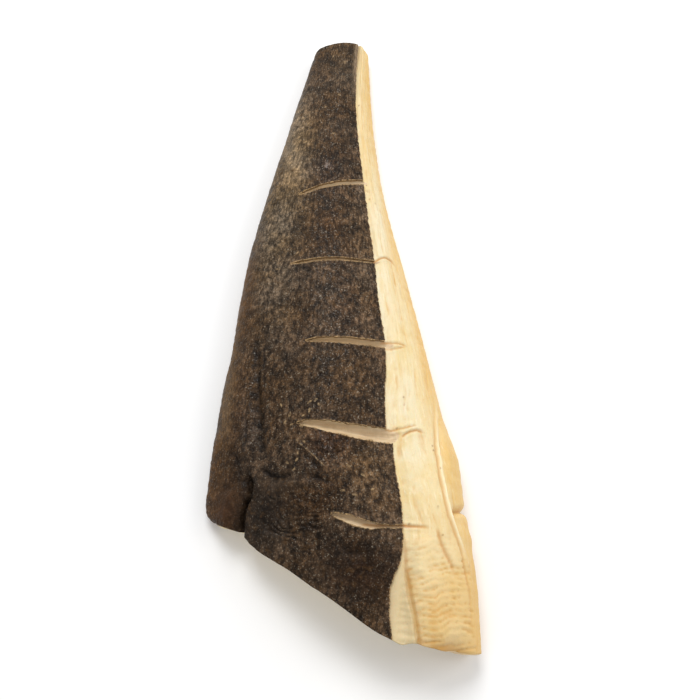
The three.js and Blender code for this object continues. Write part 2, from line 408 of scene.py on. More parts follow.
def wrinkle_relief(x, y):
    """Fine wrinkles that curve away from the fold: how high, and the painted shade in their valleys."""
    dx, dy = x - WRINKLE_CENTRE[0], y - WRINKLE_CENTRE[1]
    reach = np.hypot(dx, dy) + 2.2 * noise(x / 8, y / 8, 111) + 0.7 * noise(x / 2.6, y / 2.6, 113)
    gap, _ = from_path(x, y, FOLD)
    zone = smooth(-dy, 6.0, 11.0) * smooth(dx, -34, -27.5) * (1 - smooth(dx, 2, 16))
    zone *= smooth(gap, 0.3, 2.0) * (1 - smooth(reach, 30, 38)) * smooth(reach, 6, 11)
    zone *= np.clip(0.6 + 0.7 * noise(x / 5, y / 5, 117), 0, 1)
    valley = 1 - ripple(reach, WRINKLE_STEP, 1.1)
    # The second value is painted shade in the wrinkles' valleys
    return -1.3 * zone * (valley - 0.35), 0.7 * zone * valley


def body_relief(x, y):
    """What both the skin and the flesh under it do, and the painted shade in the creases, on the flap's
    rolled side and in the wrinkles' valleys.
    """
    depth, painted_shade = creases(x, y)
    flap, fold_side_shade = flap_relief(x, y)
    wrinkles, wrinkle_valley_shade = wrinkle_relief(x, y)
    crests = np.zeros_like(x)
    for path, high, wide in CRESTS:
        gap, where = from_path(x, y, path)
        crests += high * taper(where) * bell(gap, 0, wide)
    lumps = 0.5 * layered(x / 24, y / 34, 5, 2) + 0.22 * noise(x / 7, y / 9, 9)
    height = flap + wrinkles + crests + lumps - depth
    return height, np.clip(np.maximum(painted_shade, 0.75 * fold_side_shade) + 0.8 * wrinkle_valley_shade, 0, 1)


FRONT_SET = [  # how far the front cut stands back, in millimetres, by place across
    (-61, 0), (-57, 0), (-54, 1.3), (-50, 3.4), (-46, 3.8), (-43.5, 3.7), (-41, 3),
    (-38.5, 1.3), (-35, 0.4), (-20, 1.8), (0, 1.9), (15, 1.4), (20, 1.6), (25, 1.1), (31, 2.7),
    (38, 2.4), (45, 1.7), (52, 0.7), (60, 0.8),
]
UNDERCUT = [  # how much further back than that the sole starts
    (-60, 0.3), (-55, 3), (-47, 5.2), (-41, 6), (-30, 4), (10, 4), (22, 1.5), (32, 0),
]


def cut_back(across, along, *tables):
    """Positions along, moved so that the front cut stands back by the sum of the tables."""
    start = np.zeros_like(along)
    front, beyond = upright(across, start), upright(across, start + 1)
    x, _ = plan(front)
    share = sum(follow(x, table) for table in tables) / (beyond - front)[..., 1]
    return along + share * np.clip(1 - along, 0, 1)


def skin_relief(x, y):
    grain = 0.13 * layered(x / 2.6, y / 3.6, 21) + 0.13 * noise(x / 0.95, y / 1.2, 25)
    return grain * (1.0 + 0.5 * noise(x / 14, y / 18, 29))


SEAM = [(26.6, -106.5), (26.8, -111), (27.2, -115), (27.4, -122.7), (28.6, -127.3), (29.6, -134.3),
        (31.2, -140.9), (32.1, -148.6), (33.8, -158)]
RIDGE = [(43.6, -34), (43.8, -50), (43.5, -62.2), (43.6, -71.5), (44.3, -78), (45.4, -85),
         (46.2, -91.5), (47.4, -97), (49.2, -103), (51.4, -109), (53.6, -116), (55.2, -125.6),
         (56.6, -133), (57, -142), (56.6, -152)]
NICK = [(48.4, -99.2), (50, -97.4), (52.2, -96.2), (54.6, -95), (58, -93.5)]
HOLLOW = [(40.6, -104.5), (41.8, -108.6), (43.3, -113.4), (45.4, -117.6), (47.6, -121.4), (48.2, -125.4)]
FLESH_LINES = [  # path, depth, half width, warmth: where the scores run out over the bare flesh
    ([(8, -104.6), (14, -105.2), (20, -105), (27.5, -104.9), (33, -105.3), (40, -105.9)],
     0.4, 0.55, 1),
    ([(19, -62.9), (22.4, -63.3), (27.8, -62.3), (31, -60.9), (34.6, -59.6)], 0.3, 0.4, 0.8),
    ([(26.5, -66.4), (29, -64.6), (31, -63.3), (34.1, -62.2), (38, -63.3)], 0.5, 0.45, 0.9),
    ([(17.5, -21.3), (22.5, -20.9), (27.1, -21.2), (31.5, -21.6)], 0.35, 0.4, 0.8),
    ([(20, -24.3), (23.7, -24), (26.9, -23.3), (30.5, -22)], 0.3, 0.4, 0.6),
    ([(14.6, 21.6), (16.6, 22.2), (19, 24), (21.5, 25.1), (24.6, 24.4), (26.6, 21.8)], 0.5, 0.45, 1),
    ([(10, 62.6), (12.6, 62.8), (15.2, 62)], 0.2, 0.35, 0.4),
]
SPECKS = [(28.4, -47.4), (28.6, -50.7), (25, -62.2), (40.8, -68.6), (41.2, -70.7), (44, -78.5),
          (43.7, -108.5), (42.1, -96.5), (55.6, -119.8), (29.6, -104.1), (9.2, 115.6), (14.2, 57.7),
          (12.7, 66.1), (17, 56.1)]
SPECK_RADIUS = 0.36
SIDE_SWELL = [  # how far the right side stands out from its line, by y
    (-130, 0), (-121, -0.4), (-113, -0.9), (-107, -0.6), (-101, -1.2), (-97, -1.1), (-93, -0.8),
    (-88, -0.4), (-82, 0.5), (-76, 1.5), (-71, 2.1), (-66, 1.6), (-58, 0.9), (-48, 0),
]
SIDE_LINE = [(-160, 56.5), (-125, 55.2), (-97, 47.4), (-62, 43.5), (-34, 43.6)]  # place across, by y


def lobe_zone(x, y):
    """Where the wrinkled lobe at the front right is, and the smooth strip beside it."""
    gap, where = from_path(x, y, SEAM)
    front = 1 - smooth(y, -119, -106)
    lobe = smooth(gap, 0.3, 2.6) * front * (1 - 0.85 * smooth(x - follow(y, SIDE_LINE), -0.5, 2.0))
    return lobe, smooth(-gap, 0.2, 1.4) * smooth(x, 14, 20) * smooth(-y, 104, 109)


def wrinkled_lobe(x, y):
    """Short crosswise wrinkles: how high."""
    bend = -0.16 * (x - 44.0) + 1.3 * noise(x / 8.0, y / 8.0, 41) + 0.8 * noise(x / 3.0, y / 4.0, 42)
    short = ripple(y + bend, 2.5, 0.6)
    strength = np.clip(0.7 + 0.5 * noise(x / 6.5, y / 2.6, 43), 0, 1)
    height = 0.8 * strength * (short - 0.65)
    return height + 0.35 * noise(x / 5.5, y / 3.0, 45) + 0.12 * noise(x / 1.6, y / 1.2, 47)


def flesh_relief(across, along, x, y):
    """The bare flesh's fibres, ridge, seam, wrinkles and edge: how high, how much painted shade lies in its
    hollows, how warm, and how pale, the pale being a painted highlight along the ridge's crest.
    """
    bare = smooth(across, 3.98, 4.12)
    lobe, strip = lobe_zone(x, y)
    wave = 0.10 * noise(along * 3.1, across * 1.3, 31)
    u = across + wave
    fibres = 0.30 * layered(u * 10.0, along * 2.6, 33) + 0.20 * layered(u * 24.0, along * 6.0, 37, 2)
    pits = 0.16 * layered(x / 1.6, y / 2.4, 39, 2)
    calm = (1 - 0.85 * lobe) * (1 - 0.75 * strip) * (1 - 0.55 * smooth(across, 5.0, 5.8))
    height = (fibres + pits) * calm + wrinkled_lobe(x, y) * lobe
    # Painted shade wherever the relief dips; more is added below, between the segments and the scallops
    hollow_shade = smooth(-height, 0.0, 0.5)
    wx, wy = warped(x, y, 103, 0.35)
    gap, where = from_path(wx, wy, RIDGE)
    on = taper(where)
    high_ridge = on * (1 - smooth(where, 0.6, 0.75))
    height += high_ridge * 0.5 * bell(gap, 0.0, 0.6) - on * 0.4 * bell(gap, -1.4, 0.6)
    warm = on * 0.6 * bell(gap, -1.4, 0.55)
    # A pale painted highlight along the ridge's crest
    pale = high_ridge * bell(gap, 0.0, 0.6)
    gap, where = from_path(x, y, SEAM)
    seam = smooth(where, 0.0, 0.25)
    height += seam * (-1.9 * bell(gap, -0.2, 0.85) + 2.3 * bell(gap, 7.0, 6.0) - 1.5 * bell(gap, -4.5, 3.8))
    notches = 1 - ripple(y + 1.5 * noise(x / 4, y / 5, 49), 3.6, 0.8)
    warm = np.maximum(warm, seam * (0.45 * bell(gap, 0.4, 0.7) + 0.5 * notches * bell(gap, 1.6, 1.3)))
    gap, where = from_path(wx, wy, HOLLOW)
    height += taper(where) * (0.35 * bell(gap, 1.6, 1.4) - 0.5 * bell(gap, 0, 0.8))
    warm = np.maximum(warm, taper(where) * 0.7 * bell(gap, 0, 0.7))
    for path, deep, wide, warmth in FLESH_LINES:
        gap, where = from_path(wx, wy, path)
        line = smooth(where, 0.0, 0.12) * (1 - smooth(where, 0.8, 1.0)) * bell(gap, 0, wide)
        height += 0.25 * taper(where) * bell(np.abs(gap), 1.3, 0.7) - deep * line
        warm = np.maximum(warm, warmth * line)
    side = smooth(x - follow(y, SIDE_LINE), 0.5, 3.0)
    side *= (1 - smooth(across, 6.7, 7.0)) * (1 - smooth(y, -62, -48))
    gap, where = from_path(x, y, NICK)
    notch = smooth(where, 0.0, 0.5)
    height += side * follow(y, SIDE_SWELL) - 3.0 * notch * np.exp(-np.abs(gap / 1.3) ** 1.4)
    warm = np.maximum(warm, 0.55 * notch * bell(gap, 0, 0.7))
    steps = y + 9.0 * np.abs(across - 5.4) + 4.5 * noise(y / 17, across * 2, 55)
    segments = (1 - ripple(steps, 7.0, 0.4)) * smooth(across, 4.7, 5.4) * (1 - lobe)
    segments *= np.clip(0.35 + 0.9 * noise(y / 11, across * 3, 57), 0, 1)
    height -= 0.35 * segments
    hollow_shade = np.maximum(hollow_shade, 0.5 * segments)
    across_strip = ripple(y + 1.2 * noise(x / 5, y / 5, 59), 3.1, 0.7)
    height += strip * (1 - lobe) * 0.55 * (across_strip - 0.6)
    tail = smooth(across, 5.0, 5.7) * smooth(y, -45, -20)
    scallops = ripple(y + 2.5 * noise(y / 9, x / 9, 51), 5.4, 0.8)
    tail = tail * np.clip(0.6 + 0.6 * noise(y / 12, across * 2, 53), 0, 1)
    height += tail * 0.4 * (scallops - 0.5)
    hollow_shade = np.maximum(hollow_shade, 0.7 * tail * smooth(0.5 - scallops, 0.0, 0.4))
    return bare * height, bare * hollow_shade, np.clip(warm, 0, 1), pale


# ---- Grids ----


def along_rows(fine, coarse):
    """Positions along the portion, closer together beside the scores and the cut ends."""
    middle_pace = 44.0
    marks = {0.0, float(LAST_STATION)}
    v = 0.0
    while v < LAST_STATION:
        near = min(abs(v - s["at"]) * middle_pace for s in SCORES)
        end = min(v, LAST_STATION - v) * middle_pace
        step = fine if near < 5.0 or end < 3.0 else min(coarse, fine + (min(near - 5, end) * 0.2))
        v += step / middle_pace
        marks.add(min(v, float(LAST_STATION)))
    rows = sorted(marks)
    return [r for r in rows if all(abs(r - s["at"]) * middle_pace > 0.45 * fine for s in SCORES)]


def spaced(*spans):
    """Positions across: (start, end, count) for each span, where each starts at the last one's end."""
    steps = [np.linspace(start, end, count)[:-1] for start, end, count in spans]
    return np.append(np.concatenate(steps), float(spans[-1][1]))


def add_object(name, data):
    thing = bpy.data.objects.new(name, data)
    bpy.context.scene.collection.objects.link(thing)
    return thing


def make_piece(name, points, faces, attributes, material):
    """A smooth shaded object of points in millimetres, with a value or vector at each point."""
    mesh = bpy.data.meshes.new(name)
    mesh.from_pydata(((points * SCALE + SHIFT) * MM).tolist(), [], faces)
    mesh.polygons.foreach_set("use_smooth", np.ones(len(faces), dtype=bool))
    for key, values in attributes.items():
        values = np.asarray(values, dtype=np.float32)
        kind, slot = ("FLOAT", "value") if values.ndim == 1 else ("FLOAT_VECTOR", "vector")
        mesh.attributes.new(key, kind, "POINT").data.foreach_set(slot, values.ravel())
    mesh.validate()
    mesh.materials.append(material)
    return add_object(name, mesh)


def patch(x, y, middle_x, middle_y, reach_x, reach_y):
    """1 in the middle of a soft patch, fading outwards."""
    return np.exp(-(((x - middle_x) / reach_x) ** 2) - ((y - middle_y) / reach_y) ** 2)


def blend_colours(x, y, ground, patches):
    """A ground colour with soft patches: (colour, x, y, reach x, reach y, strength)."""
    out = np.broadcast_to(np.array(linear(ground)), x.shape + (3,)).copy()
    for colour, *place, strength in patches:
        share = strength * patch(x, y, *place)
        out += (np.array(linear(colour)) - out) * share[..., None]
    return out


def linear(rgb):
    return [(c / 255 / 12.92) if c <= 10 else ((c / 255 + 0.055) / 1.055) ** 2.4 for c in rgb]


# ---- The skin ----

EDGE_SHIFT = [  # how far the skin's margin stands off its line, in millimetres, by station
    (0, -0.3), (0.22, -2.6), (0.42, -3.4), (0.55, -2.2), (0.68, -0.4), (0.8, 0.1), (1, 0.1), (1.5, 0.3),
    (1.9999, 1.2), (2.0001, -1.2), (2.3, -1), (3, 0), (3.5, -0.7), (4, 0.1), (7, 0),
]
SKIN_PATCHES = [
    ((150, 136, 118), -24, 86, 9, 34, 0.85),
    ((132, 121, 108), -32, 44, 9, 34, 0.7),
    ((104, 92, 80), -30, 8, 10, 30, 0.5),
    ((62, 47, 38), -6, 74, 9, 14, 0.7),
    ((72, 54, 40), -6, 40, 8, 18, 0.6),
    ((72, 54, 40), 4, -4, 9, 22, 0.5),
    ((112, 98, 86), 12, 30, 5, 40, 0.5),
    ((104, 76, 50), -49, 10, 6, 40, 0.75),
    ((64, 46, 32), -52, -50, 10, 28, 0.8),
    ((62, 50, 40), -34, -50, 9, 26, 0.6),
    ((84, 56, 34), -4, -70, 9, 7, 0.7),
    ((74, 50, 36), -51, -94, 9, 12, 0.7),
    ((27, 23, 20), -33, -98, 12, 16, 0.9),
    ((58, 40, 22), -8, -94, 14, 8, 0.8),
    ((52, 42, 34), -14, -112, 16, 9, 0.7),
    ((34, 20, 9), 8, -124, 17, 13, 0.95),
    ((112, 92, 68), -53, -38, 4, 30, 0.8),
    ((110, 90, 66), -50, 0, 4, 30, 0.7),
    ((98, 74, 50), -58, -78, 4, 18, 0.7),
    ((112, 94, 76), 14, -82, 9, 14, 0.7),
    ((96, 84, 72), 2, 142, 9, 16, 0.6),
]
SCUFFS = [  # beige scraped flecks: x, y, length, direction in degrees
    (-12.9, -51, 2.2, 35), (-10.3, -50.3, 1.6, 40), (-13.1, -54.9, 1.8, 80), (-26, -50.9, 1.6, 100),
    (-21.8, -56, 2, 70), (-23.9, -59.4, 1.8, 65), (-20.9, -60.6, 1.5, 20), (-16.8, -61.9, 1.6, 150),
    (-17.9, -67.7, 1.2, 120), (-17.8, -73.4, 1.6, 90), (-18.4, -76.4, 1.6, 60), (-19.7, -80.4, 1.4, 40),
    (-22.4, -77.2, 1.4, 150), (-15, -68.6, 1.4, 130), (1.4, -90.8, 1.8, 0), (6.5, -92.5, 2, 170),
    (-9, -52.6, 1.4, 110), (-15.6, -57, 1.3, 30), (-29.4, 19, 2.4, 170), (-20.6, 26.4, 1.6, 20),
    (-23.5, 88, 3, 150), (-26.2, 80.4, 2.6, 20), (-22, 76, 2.6, 160), (-21.4, 96, 2.2, 15),
    (-25.5, 84.2, 2.2, 100), (-18.4, 92, 2, 30), (-16.6, 104, 2, 40), (-19.5, 108.4, 2.2, 170),
    (10, -84, 2, 150), (14, -90, 1.6, 20), (4, -80, 1.8, 140), (-1, 121, 1.4, 0),
    (-8, 113, 1.4, 30), (-3.5, 96, 1.6, 10), (2, 143, 1.6, 90), (-4, 147, 1.4, 60),
]

CALM = [  # smoother, more even places: x, y, reach x, reach y, strength
    (-50, -94, 9, 13, 0.8), (-54, -50, 7, 40, 0.5), (-50, 0, 6, 40, 0.6), (-28, 85, 10, 30, 0.3),
    (-44, 30, 6, 40, 0.6), (-33, -98, 11, 15, 0.6), (-24, -87, 9, 3, 0.5), (10, -124, 16, 12, 0.65),
]
WET = [  # where the light glints, in the same terms
    (-3, -69, 6, 5, 1), (-7, 71, 2, 6, 0.8), (-40, -62, 3, 8, 0.7), (-28, -104, 8, 5, 0.5),
    (8, 66, 5, 8, 0.4),
]


def zones(x, y, places):
    return sum(strength * patch(x, y, *place) for *place, strength in places)


def scuffs(x, y):
    total = np.zeros_like(x)
    wx, wy = warped(x, y, 121, 0.5)
    for px, py, reach, turn in SCUFFS:
        c, s = math.cos(math.radians(turn)), math.sin(math.radians(turn))
        ahead, aside = (wx - px) * c + (wy - py) * s, (wy - py) * c - (wx - px) * s
        total = np.maximum(total, np.exp(-((ahead / (0.7 * reach)) ** 2) - (aside / 0.55) ** 2))
    gap, where = from_path(wx, wy, SCRAPE)
    return np.maximum(total, 0.7 * taper(where) * bell(gap, 0, 0.45))


def skin_grid():
    """Positions across and along, and which lip of a score each row is: -1, 1, or 0 for neither."""
    columns = spaced((0, 2, 40), (2, 3, 76), (3, 4, 76))
    rows = [(v, 0.0) for v in along_rows(0.5, 0.75)]
    for score in SCORES:
        rows += [(float(score["at"]), -1.0), (float(score["at"]), 1.0)]
    rows.sort()
    along, side = np.array(rows).T
    return columns, along, side


def hem_line(along):
    """Across position where the skin starts, so that its hem stands clear of the floor."""
    low, high = np.zeros_like(along), np.ones_like(along)
    wavy = 0.6 + 0.3 * noise(along * 7, along * 0 + 2, 141) + 0.2 * noise(along * 23, along * 0 + 4, 143)
    for _ in range(18):
        middle = (low + high) / 2
        under = base(middle, along)[..., 2] < HEM_HEIGHT * wavy
        low, high = np.where(under, middle, low), np.where(under, high, middle)
    return high


def skin_places(columns, along, side):
    u, v = np.meshgrid(columns, along, indexing="ij")
    s = np.broadcast_to(side, u.shape)
    hem = hem_line(along)
    u = np.where(u < 2, hem + (2 - hem) * u / 2, u)
    rough = 0.22 * noise(v * 30, u * 0 + 3, 61) + 0.16 * noise(v * 75, u * 0 + 5, 63)
    teeth = 0.5 * smooth(v, 3.0, 3.2) * (1 - smooth(v, 4.6, 5.0)) * (np.abs((v * 22) % 2 - 1) - 0.5)
    shift = follow(v + s * 1e-3, EDGE_SHIFT) + rough + teeth
    width, _ = pace(u, np.clip(v, 0.05, LAST_STATION - 0.05))
    u = u + shift / width * smooth(u, 3.0, 4.0)
    v = np.clip(spread(u, v, s), 0.0, LAST_STATION)
    return u, cut_back(u, v, FRONT_SET)


def skin_sheet():
    columns, along, side = skin_grid()
    u, v = skin_places(columns, along, side)
    points, n = base(u, v), normals(u, v)
    x, y = plan(points)
    lips = np.zeros_like(u)
    _, stride = pace(u, v)
    for score in SCORES:
        half = half_gape(score, np.minimum(u, MARGIN))
        off = np.abs((v - score["at"]) * stride - follow(u, score["bow"])) - half
        lips = np.maximum(lips, np.exp(-np.maximum(off, 0) / 0.8) * (half > 0.05))
    rim = np.exp(-(MARGIN - np.minimum(columns, MARGIN))[:, None] * 40.0) * np.ones_like(u)
    body, painted_shade = body_relief(x, y)
    height = body + skin_relief(x, y) + 0.25 * lips - 0.1 * rim
    outer = points + n * height[..., None]
    inner = points + n * (body - SKIN)[..., None]
    return columns, along, side, u, outer, inner, lips, rim, painted_shade


def sheet_faces(shape, rows_side, openings):
    """Quads of a grid. Where openings holds, the faces between a score's two rows are left out,
    and elsewhere those two rows are one."""
    across, along = shape
    index = np.arange(across * along).reshape(shape)
    faces = []
    for j in range(along - 1):
        if rows_side[j] < 0 and rows_side[j + 1] > 0:
            closed = ~openings[:, j]
            index[closed, j + 1] = index[closed, j]
            continue
        a, b = index[:-1, j], index[1:, j]
        c, d = index[1:, j + 1], index[:-1, j + 1]
        faces.append(np.stack([a, b, c, d], axis=1))
    return np.concatenate(faces), index


def skin_piece(material):
    columns, along, side, u, outer, inner, lips, rim, painted_shade = skin_sheet()
    openings = np.zeros(u.shape, dtype=bool)
    for score in SCORES:
        for j in np.flatnonzero((along == score["at"]) & (side < 0)):
            openings[:, j] = half_gape(score, np.minimum(columns, MARGIN)) > 0.02
    top, index = sheet_faces(u.shape, side, openings)
    count = outer.reshape(-1, 3).shape[0]
    bottom = top[:, ::-1] + count
    edges = np.concatenate([top[:, [k, (k + 1) % 4]] for k in range(4)])
    key = edges[:, 0].astype(np.int64) * count + edges[:, 1]
    back = edges[:, 1].astype(np.int64) * count + edges[:, 0]
    rim_edges = edges[~np.isin(key, back)]
    a, b = rim_edges[:, 0], rim_edges[:, 1]
    walls = np.stack([b, a, a + count, b + count], axis=1)
    faces = np.concatenate([top, bottom, walls])
    vertices = np.concatenate([outer.reshape(-1, 3), inner.reshape(-1, 3)])
    used, packed = np.unique(faces, return_inverse=True)
    faces = packed.reshape(faces.shape)
    points = vertices[used]
    x, y = plan(points)
    inside = (used >= count).astype(float)
    u, lips, rim, painted_shade = [np.concatenate([f.ravel(), f.ravel()])[used] for f in (u, lips, rim, painted_shade)]
    attributes = {
        "tint": blend_colours(x, y, (78, 64, 52), SKIN_PATCHES),
        "grain": np.stack([u * 30.0, y, np.zeros_like(x)], axis=1) * MM,
        "lip": np.maximum(lips, rim) * (1 - inside),
        # Painted shade in the creases, on the flap's rolled side and in the wrinkles' valleys
        "painted_crease_shade": painted_shade,
        "scuff": scuffs(x, y),
        "calm": zones(x, y, CALM),
        "wet": zones(x, y, WET),
        "fringe": smooth(u, 3.66, 3.95) * smooth(y, 112, 146) * 0.9,
        "inner": inside,
    }
    return make_piece("smoked_skin", points, faces.tolist(), attributes, material)


# ---- The flesh ----

FLESH_PATCHES = [
    ((243, 230, 192), 20, 20, 9, 90, 0.9),
    ((243, 230, 190), 30, -60, 9, 36, 0.9),
    ((236, 198, 122), 14, 130, 3.5, 50, 0.7),
    ((236, 196, 118), 26, 50, 3.5, 44, 0.7),
    ((235, 196, 118), 40, -20, 4.5, 34, 0.7),
    ((236, 203, 132), 50, -80, 5, 24, 0.7),
    ((236, 208, 150), 43, -112, 10, 14, 0.6),
    ((226, 186, 112), 44, -138, 14, 14, 0.8),
    ((196, 146, 74), 46, -156, 16, 5, 0.9),
    ((222, 172, 96), 59, -125, 3, 30, 0.8),
]


def flesh_grid():
    columns = spaced((0.0, 1.5, 20), (1.5, 2.6, 18), (2.6, 4.0, 40), (4.0, 6.0, 100), (6.0, 7.0, 18))
    rows = np.array(sorted(along_rows(0.45, 0.75) + [float(s["at"]) for s in SCORES]))
    return columns, rows


def flesh_top(u, v, hem):
    """The flesh's upper side, let in under the skin from the hem on, and how it is marked."""
    points, n = base(u, v), normals(u, v)
    x, y = plan(points)
    under = smooth(u, hem - 0.05, hem + 0.05) * (1 - smooth(u, 4.06, 4.3))
    share, depth = inside_scores(u, v)
    body, _ = body_relief(x, y)
    relief, hollow_shade, warm, pale = flesh_relief(u, v, x, y)
    gap, where = from_path(x, y, FOLD)
    clear = 1.6 * smooth(where, -0.1, 0.2) * bell(gap, 0, 3.5) * under
    height = -(SKIN + BED) * under - depth - clear + body * (1 - smooth(u, 4.0, 4.6)) + relief
    resting = smooth(points[..., 2], 0.0, 2.5)
    out = points + n * (height * resting)[..., None]
    out[..., 2] = np.maximum(out[..., 2], 0.0)
    return out, share, hollow_shade, warm, pale


def flesh_sole(u, v):
    """The flat underside, with a point below each point of the top."""
    x = upright(u, v)[..., 0]
    m = int(np.argmin(np.abs(u[:, 0] - MARGIN)))
    left, middle, right = [upright(np.full_like(u, line), v) for line in (0.0, MARGIN, float(LAST_LINE))]
    out = np.zeros(u.shape + (3,))
    ramp = np.linspace(0, 1, len(u))[:, None]
    for part, a, b in ((slice(0, m + 1), left, middle), (slice(m, None), middle, right)):
        share = (x[part] - a[part][..., 0]) / (b[part][..., 0] - a[part][..., 0])
        share = np.maximum.accumulate(np.clip(share, 0, 1), axis=0)
        if part.start == m:
            share = 1 - np.minimum.accumulate((1 - np.clip(share, 0, 1)), axis=0)
        local = (ramp[part] - ramp[part][0]) / (ramp[part][-1] - ramp[part][0])
        share = 0.9 * share + 0.1 * local
        out[part] = a[part] + (b[part] - a[part]) * share[..., None]
    out[..., 2] = 0.0
    out = lean(out, u, v)
    x, y = out[..., 0], out[..., 1]
    ramps = np.minimum(ramp, 1 - ramp)
    flakes = np.abs(noise(x / 11, y / 5 + np.abs(x) / 9, 71)) + 0.4 * np.abs(noise(x / 3, y / 3, 73))
    out[..., 2] = 0.5 * flakes * smooth(ramps, 0.0, 0.12)
    return out


def face_rows(edge_top, edge_sole, count, outward, bulge, seed):
    """Rows of points down a cut end, from its upper edge to the sole, without the two edges."""
    rows = []
    for k in range(1, count):
        t = k / count
        points = edge_top * (1 - t) + edge_sole * t
        drop = edge_top[:, 2] - edge_sole[:, 2]
        tall = smooth(drop, 0.0, 8.0)
        x, z = points[:, 0], points[:, 2]
        arcs = np.abs(np.sin((z + 0.35 * np.abs(x - 5 + 8 * noise(z / 9, x / 40, seed))) / 3.1))
        relief = -0.55 * (1 - arcs) ** 3 + 0.25 * layered(x / 4, z / 3, seed + 1)
        out = bulge * math.sin(math.pi * t) * tall
        points = points + outward * (out + relief * tall * math.sin(math.pi * t) ** 0.5)[:, None]
        rows.append(points)
    return rows


def flesh_piece(material):
    columns, rows = flesh_grid()
    u, v = np.meshgrid(columns, rows, indexing="ij")
    sole = flesh_sole(u, cut_back(u, v, FRONT_SET, UNDERCUT))
    v = cut_back(u, v, FRONT_SET)
    top, share, hollow_shade, warm, pale = flesh_top(u, v, hem_line(rows)[None, :])
    across, along = u.shape
    points = [top.reshape(-1, 3), sole.reshape(-1, 3)]
    grids = [np.arange(across * along).reshape(u.shape)]
    grids.append(grids[0] + across * along)
    grids[1][0], grids[1][-1] = grids[0][0], grids[0][-1]
    none = np.zeros_like(u)
    fields = [(u, v, share, none, hollow_shade, warm, pale), (u, v, none, none + 1.0, none, none, none)]
    faces = [quads(grids[0]), quads(grids[1])[:, ::-1]]
    total = 2 * across * along
    for j, outward, count, bulge, seed in ((0, -1.0, 22, 1.2, 81), (along - 1, 1.0, 10, 0.8, 91)):
        direction = np.array([0.0, outward, 0.0])
        between = face_rows(top[:, j], sole[:, j], count, direction, bulge, seed)
        strip = [grids[0][:, j]]
        for points_here in between:
            numbers = np.arange(total, total + across)
            numbers[0], numbers[-1] = grids[0][0, j], grids[0][-1, j]
            strip.append(numbers)
            points.append(points_here)
            plain = np.zeros(across)
            fields.append((u[:, j], v[:, j], plain, plain + 1.0, plain, plain, plain))
            total += across
        strip.append(grids[1][:, j])
        cap = quads(np.stack(strip, axis=1))
        faces.append(cap[:, ::-1] if outward < 0 else cap)
    vertices = np.concatenate(points)
    faces = np.concatenate(faces)
    keep = np.array([len(set(f)) for f in faces.tolist()])
    quad = faces[keep == 4]
    tri = [list(dict.fromkeys(f)) for f in faces[keep == 3].tolist()]
    used = np.unique(np.concatenate([quad.ravel(), np.array(tri, dtype=int).ravel()]))
    renumber = np.full(len(vertices), -1)
    renumber[used] = np.arange(len(used))
    every = [np.concatenate([f[k].ravel() for f in fields])[used] for k in range(7)]
    faces = renumber[quad].tolist() + [renumber[t].tolist() for t in tri]
    return make_piece("smoked_flesh", vertices[used], faces, marks(vertices[used], every), material)


def quads(index):
    a, b = index[:-1, :-1], index[1:, :-1]
    c, d = index[1:, 1:], index[:-1, 1:]
    return np.stack([a, b, c, d], axis=-1).reshape(-1, 4)


def marks(points, every):
    """What the flesh's material needs to know at each point."""
    u, v, share, cut, hollow_shade, warm, pale = every
    x, y = plan(points)
    specks = np.zeros_like(x)
    for px, py in SPECKS:
        specks = np.maximum(specks, np.exp(-((np.hypot(x - px, y - py) / SPECK_RADIUS) ** 2)))
    lobe, strip = lobe_zone(x, y)
    tint = blend_colours(x, y, (245, 224, 172), FLESH_PATCHES)
    edge = 0.75 * smooth(u, 4.75, 5.75)[:, None]
    tint = tint * (1 - edge) + np.array(linear((235, 191, 106))) * edge
    return {
        "smudge": 0.7 * smooth(y, 112, 146) * smooth(-u, -4.45, -4.0),
        "tint": tint,
        "grain": np.stack([u * 22.0, y, points[:, 2]], axis=1) * MM,
        "cut": share,
        "hem": 1 - smooth(u, 0.7, 1.6),
        "shade": shade_in_scores(u, v) * share,
        "warm": warm,
        "hollow_shade": hollow_shade,
        # The painted highlight along the ridge's crest
        "pale": pale,
        "speck": specks * (1 - cut),
        "strip": strip * (1 - lobe),
        "plump": np.maximum(lobe, 0.85 * smooth(u, 4.9, 5.7)),
        "under": (1 - smooth(u, 3.9, 4.02)) * smooth(u, 0.9, 1.0),
        "face": cut,
    }


# ---- Materials ----

FLAKE_WAVES = 620.0  # radians for each metre of height, for the flakes on the cut ends


